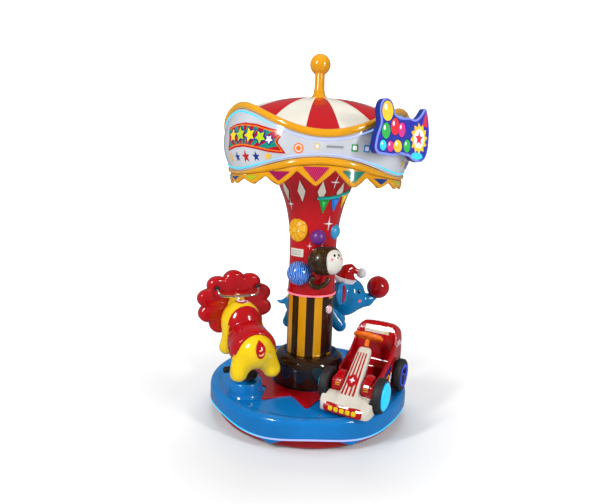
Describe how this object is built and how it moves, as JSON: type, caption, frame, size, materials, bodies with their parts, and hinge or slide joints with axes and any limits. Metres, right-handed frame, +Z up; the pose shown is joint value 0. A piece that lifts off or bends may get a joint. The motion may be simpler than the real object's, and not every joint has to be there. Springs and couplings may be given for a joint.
{
  "type": "merry go round",
  "caption": "Small circus carousel ride with a lion, an elephant and a kart on a turning blue deck, a red flared column and a wavy white canopy.",
  "frame": {"origin": "on the spin axis at floor level, at the middle of the base frame's floor pad", "axes": "+Z up along the spin axis, -Y towards the front that the sign board's left end and the kart's nose face"},
  "size_m": [1.4587, 1.36, 2.388],
  "materials": {
    "red_gelcoat": "glossy red gelcoat",
    "blue_gelcoat": "glossy blue gelcoat",
    "brown_gelcoat": "glossy dark brown gelcoat",
    "striped_gelcoat": "amber gelcoat with dark brown stripes",
    "amber_gelcoat": "glossy amber gelcoat",
    "white_gelcoat": "glossy white gelcoat",
    "cream_gelcoat": "glossy cream white gelcoat",
    "yellow_gelcoat": "glossy yellow gelcoat",
    "sky_gelcoat": "glossy sky blue gelcoat",
    "dome_orange": "glossy orange dome",
    "dome_purple": "glossy purple dome",
    "dome_cyan": "glossy light blue dome",
    "orange_plastic": "orange moulded plastic",
    "light_box": "lit acrylic light box",
    "led_cyan": "lit silicone light strip",
    "led_pink": "lit silicone light strip",
    "button_white": "translucent white push button",
    "chrome_bar": "polished stainless tube",
    "black_rubber": "matt black rubber",
    "tyre_black": "black tyre with a lit hub",
    "frame_steel": "grey painted steel",
    "bright_steel": "machined steel",
    "copper_ring": "slip ring contacts",
    "black_plastic": "matt black plastic"
  },
  "bodies": {
    "base": {"base_skirt": "red_gelcoat", "base_frame": "frame_steel", "levelling_foot_1": "black_rubber", "levelling_foot_2": "black_rubber", "levelling_foot_3": "black_rubber", "levelling_foot_4": "black_rubber", "slewing_ring_fixed": "bright_steel", "slip_ring_brushes": "black_plastic", "gear_motor": "frame_steel", "control_box": "frame_steel", "power_inlet": "black_plastic"},
    "drive": {"drive_roller": "black_rubber"},
    "rotor": {"deck_star_trim": "red_gelcoat", "column_upper": "red_gelcoat", "canopy_roof": "red_gelcoat", "kart_tub": "red_gelcoat", "deck_shell": "blue_gelcoat", "ball_blue": "blue_gelcoat", "drum_shell": "brown_gelcoat", "monkey_head": "brown_gelcoat", "monkey_arm": "brown_gelcoat", "column_lower": "striped_gelcoat", "fascia_trim_upper": "amber_gelcoat", "fascia_trim_lower": "amber_gelcoat", "valance": "amber_gelcoat", "finial": "amber_gelcoat", "canopy_ceiling": "amber_gelcoat", "fascia_band": "white_gelcoat", "kart_nose": "cream_gelcoat", "dome_orange": "dome_orange", "ball_purple": "dome_purple", "ball_cyan": "dome_cyan", "steering_column": "orange_plastic", "sign_board": "light_box", "deck_led_strip": "led_cyan", "fascia_led_upper": "led_cyan", "fascia_led_lower": "led_cyan", "column_led_ring": "led_pink", "kart_tyre_front_left": "tyre_black", "kart_tyre_front_right": "tyre_black", "kart_tyre_rear_left": "tyre_black", "kart_tyre_rear_right": "tyre_black", "turntable_frame": "frame_steel", "canopy_frame": "frame_steel", "slewing_ring_turning": "bright_steel", "central_mast": "bright_steel", "slip_ring_core": "copper_ring"},
    "lion_ride": {"lion_mane": "red_gelcoat", "lion_cape": "red_gelcoat", "lion_body": "yellow_gelcoat", "lion_handle": "chrome_bar", "lion_plunger": "black_rubber"},
    "elephant_ride": {"elephant_hat": "red_gelcoat", "elephant_ball": "red_gelcoat", "elephant_body": "sky_gelcoat", "elephant_handle": "chrome_bar", "elephant_plunger": "black_rubber"},
    "steering": {"steering_wheel": "orange_plastic"},
    "button": {"start_button": "button_white"}
  },
  "joints": [
    {"name": "carousel_spin", "type": "hinge", "parent": "base", "child": "rotor", "pos_m": [0, 0, 0.07], "axis": [0, 0, 1], "continuous": true},
    {"name": "drive_spin", "type": "hinge", "parent": "base", "child": "drive", "pos_m": [0.16992, 0.16992, 0.09], "axis": [0, 0, 1], "continuous": true},
    {"name": "lion_lift", "type": "slide", "parent": "rotor", "child": "lion_ride", "axis": [0, 0, 1], "range_m": [0, 0.08]},
    {"name": "elephant_lift", "type": "slide", "parent": "rotor", "child": "elephant_ride", "axis": [0, 0, 1], "range_m": [-0.08, 0]},
    {"name": "steering_turn", "type": "hinge", "parent": "rotor", "child": "steering", "pos_m": [0.38169, -0.24785, 0.588], "axis": [0.2131, 0.4183, 0.8829], "range_deg": [-60, 60]},
    {"name": "button_press", "type": "slide", "parent": "rotor", "child": "button", "axis": [-0.7547, 0.6561, 0], "range_m": [0, 0.004], "stiffness_N_per_m": 400}
  ],
  "couplings": [
    {"joint": "drive_spin", "follows": "carousel_spin", "ratio": -5}
  ]
}
